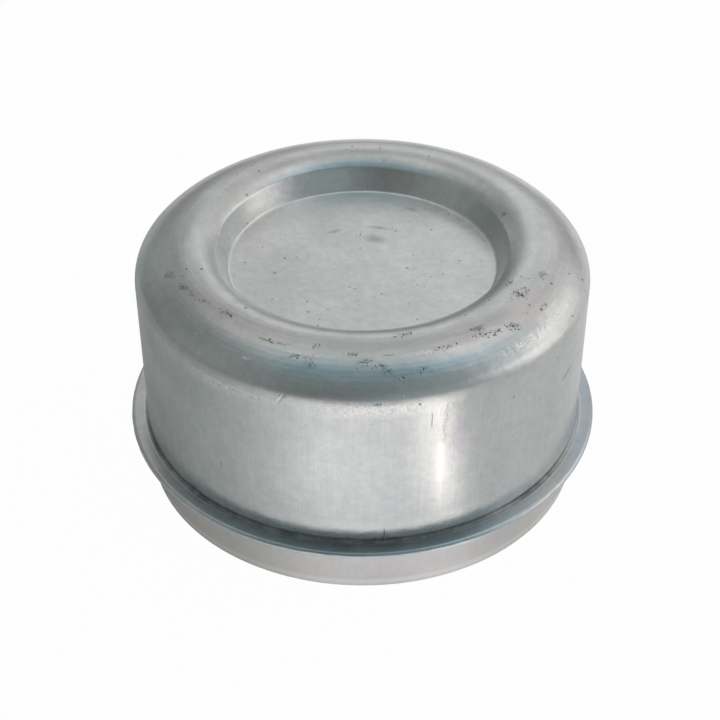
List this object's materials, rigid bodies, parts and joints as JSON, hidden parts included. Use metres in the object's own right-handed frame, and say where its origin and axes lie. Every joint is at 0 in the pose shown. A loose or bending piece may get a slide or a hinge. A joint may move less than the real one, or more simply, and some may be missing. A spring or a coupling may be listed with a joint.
{
  "type": "hub grease cap",
  "caption": "Hub grease cap: one drawn sheet-steel cup with a dished top, a folded stop flange and a short press-in spigot.",
  "frame": {"origin": "centre of the open rim, on the plane that the cap stands on", "axes": "+Z along the cap's axis, from the open rim up to the dished top; X and Y are alike"},
  "size_m": [0.0694, 0.0694, 0.0372],
  "materials": {
    "zinc_plated_steel": "bright zinc plate over drawn steel, satin"
  },
  "bodies": {
    "root": {"grease_cap": "zinc_plated_steel"}
  },
  "joints": []
}
